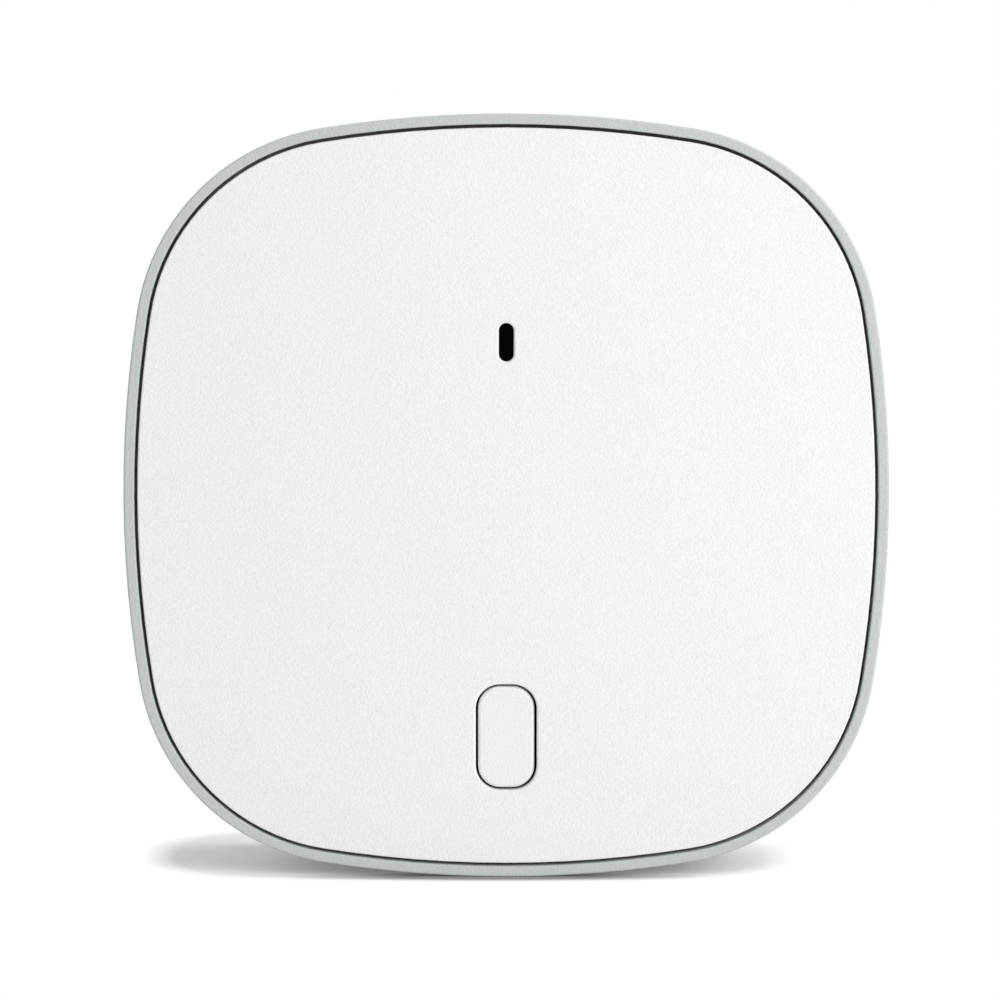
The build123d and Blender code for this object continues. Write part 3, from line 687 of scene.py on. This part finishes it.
# Terminals: a tinned cap over a part's end, with the solder that runs out onto the board. The sides that
# have them are angles from the part's top, and a part at the front has them on the board's front face
terminals = {
    "resistorTerminals": {"node": "chip_resistors", "sides": (0, 180), "count": 6, "pitch": 2.6 * mm,
                          "width": 0.84 * mm, "rise": 0.52 * mm, "wrap": 0.3 * mm, "reach": 0.3 * mm},
    "ceramicTerminals": {"node": "chip_capacitors", "sides": (0, 180), "count": 6, "pitch": 2.6 * mm,
                         "width": 0.84 * mm, "rise": 0.82 * mm, "wrap": 0.35 * mm, "reach": 0.35 * mm},
    "processorTerminals": {"node": "processor_chip", "sides": (0, 90, 180, 270), "count": 12,
                           "pitch": 0.65 * mm, "width": 0.3 * mm, "rise": 0.22 * mm, "wrap": 0.05 * mm,
                           "reach": 0.4 * mm},
    "regulatorLeads": {"node": "regulator_chip", "sides": (180,), "count": 3, "pitch": 2.3 * mm,
                       "width": 0.7 * mm, "rise": 0.7 * mm, "wrap": 0.05 * mm, "reach": 1.2 * mm},
    "regulatorTab": {"node": "regulator_chip", "sides": (0,), "count": 1, "pitch": 0.0,
                     "width": 3.0 * mm, "rise": 0.7 * mm, "wrap": 0.05 * mm, "reach": 1.2 * mm},
    "inductorTerminals": {"node": "power_inductor", "sides": (90, 270), "count": 1, "pitch": 0.0,
                          "width": 3.2 * mm, "rise": 1.5 * mm, "wrap": 0.1 * mm, "reach": 0.5 * mm},
    "crystalTerminals": {"node": "crystal", "sides": (90, 270), "count": 2, "pitch": 1.4 * mm,
                         "width": 0.8 * mm, "rise": 0.25 * mm, "wrap": 0.05 * mm, "reach": 0.3 * mm},
    "moduleEdgePads": {"node": "wifi_module_board", "sides": (90, 270), "count": 14, "pitch": 1.5 * mm,
                       "width": 0.9 * mm, "rise": 0.82 * mm, "wrap": 0.7 * mm, "reach": 0.5 * mm,
                       "front": True},
    "radioTerminals": {"node": "radio_chip", "sides": (0, 90, 180, 270), "count": 5, "pitch": 0.65 * mm,
                       "width": 0.3 * mm, "rise": 0.22 * mm, "wrap": 0.05 * mm, "reach": 0.3 * mm,
                       "front": True},
    "wifiChipTerminals": {"node": "wifi_chip", "sides": (0, 90, 180, 270), "count": 8, "pitch": 0.5 * mm,
                          "width": 0.24 * mm, "rise": 0.2 * mm, "wrap": 0.05 * mm, "reach": 0.25 * mm,
                          "front": True},
    "ledTerminals": {"node": "led_package", "sides": (90, 270), "count": 2, "pitch": 1.5 * mm,
                     "width": 0.8 * mm, "rise": 0.45 * mm, "wrap": 0.05 * mm, "reach": 0.35 * mm,
                     "front": True},
}
solder = {"skin": 0.02 * mm, "climb": 0.75, "steps": 6, "crease": 40}  # climb: share of the end it covers


# One terminal: its section runs up off the board, and is swept across the part's end
def terminalModel(look):
    skin, climb, reach = solder["skin"], look["rise"] * solder["climb"], look["reach"]
    section = [(-look["wrap"], 0.0)]
    section += [(reach - (reach - skin) * math.sin(angle), climb * (1 - math.cos(angle)))
                for angle in quarterTurn(solder["steps"])]
    section += [(skin, look["rise"]), (-look["wrap"], look["rise"])]
    return stackedRings("terminalModel", [[(side * look["width"] / 2, up, out) for out, up in section]
                                          for side in (-1, 1)])


def makeTerminals(name, look):
    low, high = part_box(look["node"])
    middle, half = (low + high) / 2, (high - low) / 2
    front = look.get("front", False)
    model = terminalModel(look)
    sprout = Sprout(name, {"Terminal": model, "Count": look["count"], "Pitch": look["pitch"]})
    row = sprout.row(sprout.model("Terminal"))
    sides = [sprout.moved(sprout.moved(row, (0.0, 0.0, half.z if side % 180 == 0 else half.x)),
                          turn=(0.0, math.radians(side), 0.0)) for side in look["sides"]]
    placed = sprout.moved(sprout.joined(sides), (middle.x, high.y if front else low.y, middle.z),
                          (0.0, 0.0, math.pi if front else 0.0))
    piece = sprout.bake(placed, finishes["lead_metal"], solder["crease"])
    bpy.data.objects.remove(model)
    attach(piece, "hub")


for name, look in terminals.items():
    makeTerminals(name, look)


# Solder joints: a small cone round each pin, on the side of the board away from its part. Each row gives a
# node, its columns and rows of pins, and half a pin's thickness
solderJoints = {"padRadius": 0.85 * mm, "rise": 0.7 * mm, "pinRadius": 0.4 * mm, "sides": 20, "steps": 6,
                "through": 2 * mm, "pins": (("header_pins", 1, 4, (0.32 * mm, 0.0, 0.32 * mm)),
                                            ("sounder_pins", 2, 1, (0.4 * mm, 0.0, 0.4 * mm)),
                                            ("switch_legs", 2, 2, (0.15 * mm, 0.0, 0.35 * mm)))}


def makeSolderJoints(look):
    boardLow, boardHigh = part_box("main_board")
    spots = []
    for node, columns, rows, halfPin in look["pins"]:
        low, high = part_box(node)
        low, high = low + Vector(halfPin), high - Vector(halfPin)
        onBack = low.y > boardLow.y - look["through"] and high.y < boardHigh.y + look["through"]
        across, up = (high.x - low.x) / max(1, columns - 1), (high.z - low.z) / max(1, rows - 1)
        face = boardHigh.y if onBack else boardLow.y
        spots += [(low.x + across * column, face, low.z + up * row)
                  for column in range(columns) for row in range(rows)]
    slope = [(look["padRadius"] - (look["padRadius"] - look["pinRadius"]) * math.sin(angle),
              look["rise"] * (1 - math.cos(angle))) for angle in quarterTurn(look["steps"])]
    cone = turnedSolid("solderCone", slope, look["sides"])
    carrier = linked("solderSpots", bpy.data.meshes.new("solderSpots"))
    carrier.data.from_pydata(spots, [], [])
    sprout = Sprout("solderJoints", {"Cone": cone, "Spots": carrier,
                                     "Board Middle": (boardLow.y + boardHigh.y) / 2})
    points = sprout.add("GeometryNodeObjectInfo", None, {"Object": sprout.given("Spots")}, output="Geometry")
    atFront = sprout.split(sprout.add("GeometryNodeInputPosition"))[1] < sprout.given("Board Middle")
    joints = sprout.placed(points, sprout.model("Cone"), sprout.point(atFront * math.pi))
    piece = sprout.bake(joints, finishes["lead_metal"], solder["crease"])
    for helper in (cone, carrier):
        bpy.data.objects.remove(helper)
    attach(piece, "hub")


makeSolderJoints(solderJoints)


# Round capacitors: a crimped can with a scored top, a dark polarity mark, and a cropped black base
capacitors = {"count": 2, "pitch": 8.5 * mm, "radius": 3.15 * mm, "sides": 56, "crease": 32,
              "base": 6.6 * mm, "baseHeight": 1.0 * mm, "cropped": 1.3 * mm, "baseChamfer": 0.15 * mm,
              "baseTop": 0.95, "footInset": 0.2 * mm, "footSink": 0.1 * mm, "footRise": 0.15 * mm,
              "grooveAt": 2.2 * mm, "grooveDepth": 0.22 * mm, "grooveHalf": 0.1 * mm,
              "grooveReach": 0.3 * mm, "edge": 0.3 * mm, "edgeSteps": 5, "lip": 0.08 * mm,
              "sink": 0.1 * mm, "scoreReach": 1.9 * mm, "scoreHalf": 0.06 * mm, "scoreDepth": 0.08 * mm,
              "scoreOver": 1 * mm, "markFrom": 1.1 * mm, "markGap": 0.2 * mm, "markSteps": 24,
              "markSink": 0.02 * mm, "markRise": 0.015 * mm}


def capacitorCan(look, height):
    radius, groove, edge, lip = look["radius"], look["grooveAt"], look["edge"], look["lip"]
    foot, top = look["baseHeight"], height - look["sink"]
    waist = radius - look["grooveDepth"]
    profile = [(radius - look["footInset"], foot - look["footSink"]), (radius, foot + look["footRise"]),
               (radius, groove - look["grooveReach"]), (waist, groove - look["grooveHalf"]),
               (waist, groove + look["grooveHalf"]), (radius, groove + look["grooveReach"])]
    profile += [(radius - edge + edge * math.cos(angle), height - edge + edge * math.sin(angle))
                for angle in quarterTurn(look["edgeSteps"])]
    profile += [(radius - edge - lip, top), (radius - edge - 2 * lip, top)]
    can = turnedSolid("capacitorCan", profile, look["sides"])
    reach, half = look["scoreReach"], look["scoreHalf"]
    cross = [(reach, -half), (reach, half), (half, half), (half, reach), (-half, reach), (-half, half),
             (-reach, half), (-reach, -half), (-half, -half), (-half, -reach), (half, -reach), (half, -half)]
    levels = [(top - look["scoreDepth"], 1), (top + look["scoreOver"], 1)]
    return combined(can, outlineSolid("capacitorScore", cross, levels), "DIFFERENCE")


def capacitorBase(look, height):
    half, crop, up = look["base"] / 2, look["cropped"], look["baseHeight"]
    outline = [(-half, -half), (half - crop, -half), (half, -half + crop), (half, half - crop),
               (half - crop, half), (-half, half)]
    return outlineSolid("capacitorBase", outline, [
        (0.0, 1), (up - look["baseChamfer"], 1), (up, look["baseTop"])])


def capacitorMark(look, height):
    radius, steps = look["radius"] - look["edge"] - look["markGap"], look["markSteps"]
    reach = math.acos(look["markFrom"] / radius)
    angles = [math.pi - reach + 2 * reach * step / steps for step in range(steps + 1)]
    outline = [(radius * math.cos(angle), radius * math.sin(angle)) for angle in angles]
    top = height - look["sink"]
    return outlineSolid("capacitorMark", outline, [(top - look["markSink"], 1), (top + look["markRise"], 1)])


def makeCapacitors(look):
    low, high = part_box("electrolytic_capacitors")
    middle = (low + high) / 2
    for name, maker, slot in (("capacitorCans", capacitorCan, "capacitor_can"),
                              ("capacitorBases", capacitorBase, "connector_plastic"),
                              ("capacitorMarks", capacitorMark, "chip_black")):
        model = maker(look, high.y - low.y)
        sprout = Sprout(name, {"Model": model, "Count": look["count"], "Pitch": look["pitch"]})
        placed = sprout.moved(sprout.row(sprout.model("Model")), (middle.x, low.y, middle.z))
        piece = sprout.bake(placed, finishes[slot], look["crease"])
        bpy.data.objects.remove(model)
        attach(piece, "hub")
    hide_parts("electrolytic_capacitors")


makeCapacitors(capacitors)


# Module aerial: a thin gold strip that runs to and fro over the bare end of the radio module
moduleAerial = {"points": 22, "step": 1.35 * mm, "reach": 3.6 * mm, "width": 0.5 * mm,
                "thickness": 0.035 * mm, "endGap": 1.0 * mm, "crease": 30}


def makeModuleAerial(look):
    low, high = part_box("wifi_module_board")
    sprout = Sprout("moduleAerial", {"Points": look["points"], "Step": look["step"], "Reach": look["reach"],
                                     "Width": look["width"], "Thickness": look["thickness"]})
    line = sprout.add("GeometryNodeMeshLine", None, {"Count": sprout.given("Points")})
    index = sprout.add("GeometryNodeInputIndex")
    raised = (index + 1.0) // 2.0 % 2.0
    place = sprout.point(index // 2.0 * sprout.given("Step"), 0.0, raised * sprout.given("Reach"))
    bent = sprout.add("GeometryNodeSetPosition", None, {"Geometry": line, "Position": place})
    profile = sprout.add("GeometryNodeCurvePrimitiveQuadrilateral", None, {
        "Width": sprout.given("Width"), "Height": sprout.given("Thickness")})
    strip = sprout.add("GeometryNodeCurveToMesh", None, {
        "Curve": sprout.add("GeometryNodeMeshToCurve", None, [bent]), "Profile Curve": profile,
        "Fill Caps": True})
    length = (look["points"] // 2 - 1) * look["step"]
    placed = sprout.moved(strip, ((low.x + high.x - length) / 2, low.y - look["thickness"] / 2,
                                  high.z - look["endGap"] - look["reach"]))
    piece = sprout.bake(placed, gold, look["crease"])
    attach(piece, "hub")


makeModuleAerial(moduleAerial)


# Contacts: five gold strips on the tongue inside the power inlet
inletContacts = {"count": 5, "pitch": 0.65 * mm, "width": 0.4 * mm, "length": 3.2 * mm,
                 "thickness": 0.05 * mm, "tongue": 0.6 * mm, "endGap": 0.2 * mm, "crease": 30}


def makeInletContacts(look):
    low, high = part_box("usb_tongue")
    middle = (low + high) / 2
    sprout = Sprout("inletContacts", {"Count": look["count"], "Pitch": look["pitch"], "Width": look["width"],
                                      "Length": look["length"], "Thickness": look["thickness"]})
    size = sprout.point(sprout.given("Width"), sprout.given("Thickness"), sprout.given("Length"))
    strip = sprout.add("GeometryNodeMeshCube", None, {"Size": size})
    rise = middle.y - look["tongue"] / 2 - look["thickness"] / 2
    placed = sprout.moved(sprout.row(strip), (middle.x, rise, low.z + look["length"] / 2 + look["endGap"]))
    piece = sprout.bake(placed, gold, look["crease"])
    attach(piece, "hub")


makeInletContacts(inletContacts)


# Camera: square on and a little above the middle, looking slightly down
view = {"frameWidth": 127.92 * mm, "distance": 0.55, "right": -0.80 * mm, "up": 48.73 * mm, "turn": 0.0,
        "tilt": 4.8, "sensor": 36.0, "near": 0.01, "far": 20.0}


def makeCamera(look):
    data = bpy.data.cameras.new("camera")
    data.sensor_width = look["sensor"]
    data.lens = look["sensor"] * look["distance"] / look["frameWidth"]
    data.clip_start, data.clip_end = look["near"], look["far"]
    camera = linked("camera", data)
    turn, tilt = math.radians(look["turn"]), math.radians(look["tilt"])
    away = Vector((math.sin(turn) * math.cos(tilt), -math.cos(turn) * math.cos(tilt), math.sin(tilt)))
    camera.location = Vector((look["right"], cadBox[0].y, look["up"])) + look["distance"] * away
    camera.rotation_euler = (math.pi / 2 - tilt, 0.0, turn)
    scene.camera = camera


makeCamera(view)


# Floor: a pale disc that keeps the shadow near the object and fades into the white world. An oval under the
# front edge is a painted shadow, darker still, standing in for the shade where the object touches down
floor = {"radius": 1.2, "sides": 96, "colour": 0.9, "seenGain": 1.22,
         "shadowAt": (-5.1 * mm, 4 * mm, 0.0), "shadowHalf": (43.1 * mm, 22 * mm), "squareness": 3.0,
         "fadeFrom": 0.9, "fadeTo": 1.0, "shadowLift": 0.15,
         # the next keys place and shade the oval of painted shadow under the front edge
         "paintedShadowAt": (-1 * mm, -14.2 * mm, 0.0), "paintedShadowHalf": (28 * mm, 3.6 * mm), "paintedShadowFrom": 0.45,
         "paintedShadowShare": 0.72, "paintedShadowColour": 0.02}


def floorSurface(look):
    shader = Shader("paleFloor")
    seen = shader.seen()

    # How far out a point is in an oval: 0 in its middle, 1 on its edge
    def ovalReach(middle, halves, squareness=2.0):
        offset = shader.add("ShaderNodeVectorMath", {"operation": "SUBTRACT"}, [shader.place(), middle])
        x, y, _ = shader.split(offset)
        return (abs(x / halves[0]) ** squareness + abs(y / halves[1]) ** squareness) ** (1 / squareness)

    far = ovalReach(look["shadowAt"], look["shadowHalf"], look["squareness"])
    fade = shader.ranged(far, look["fadeFrom"], look["fadeTo"], look["shadowLift"], 1.0)
    # Painted shadow: inside this oval the floor the camera sees is mixed towards a near-black diffuse
    near = ovalReach(look["paintedShadowAt"], look["paintedShadowHalf"])
    paintedShadow = shader.ranged(near, look["paintedShadowFrom"], 1.0, look["paintedShadowShare"], 0.0)
    colour = shader.mixColour(seen, grey(look["colour"]), grey(look["colour"] * look["seenGain"]))
    matte = shader.add("ShaderNodeBsdfDiffuse", None, {"Color": colour})
    white = shader.add("ShaderNodeEmission", None, {"Color": grey(1.0), "Strength": 1.0})
    dark = shader.add("ShaderNodeBsdfDiffuse", None, {"Color": grey(look["paintedShadowColour"])})
    top = shader.add("ShaderNodeMixShader", None, [fade * seen, matte, white])
    top = shader.add("ShaderNodeMixShader", None, [paintedShadow * seen, top, dark])
    below = shader.add("ShaderNodeNewGeometry", output="Backfacing")
    clear = shader.add("ShaderNodeBsdfTransparent")
    return shader.end(shader.add("ShaderNodeMixShader", None, [below, top, clear]))


def makeFloor(look):
    mesh = bpy.data.meshes.new("floor")
    radius, sides = look["radius"], look["sides"]
    turns = [math.tau * side / sides for side in range(sides)]
    mesh.from_pydata([(radius * math.cos(turn), radius * math.sin(turn), 0.0) for turn in turns],
                     [], [tuple(range(sides))])
    mesh.materials.append(floorSurface(look))
    linked("floor", mesh)


makeFloor(floor)


# Light: an even room and three broad soft lamps, the strongest from the upper right
lamps = {
    "key": {"at": (0.5, -0.5, 0.33), "size": 0.45, "power": 3.55},
    "top": {"at": (0.05, 0.12, 0.85), "size": 0.5, "power": 2.0},
    "back": {"at": (-0.5, 0.75, 0.35), "size": 0.6, "power": 2.0},
}
lampAim = (0.0, 0.0, 0.05)
room = {"level": 0.37, "seen": 1.0}


def makeLamp(name, look):
    data = bpy.data.lights.new(name, "AREA")
    data.shape, data.size, data.energy = "DISK", look["size"], look["power"]
    lamp = linked(name, data)
    lamp.location = look["at"]
    lamp.rotation_euler = (Vector(lampAim) - Vector(look["at"])).to_track_quat("-Z", "Y").to_euler()


def makeRoom(look):
    shader = Shader("room", world=True)
    strength = shader.seen() * (look["seen"] - look["level"]) + look["level"]
    light = shader.add("ShaderNodeBackground", None, {"Color": grey(1.0), "Strength": strength})
    scene.world = shader.end(light, "World")


for name, look in lamps.items():
    makeLamp(name, look)
makeRoom(room)
scene.view_settings.view_transform = "Standard"
print("stage: camera, floor and light")
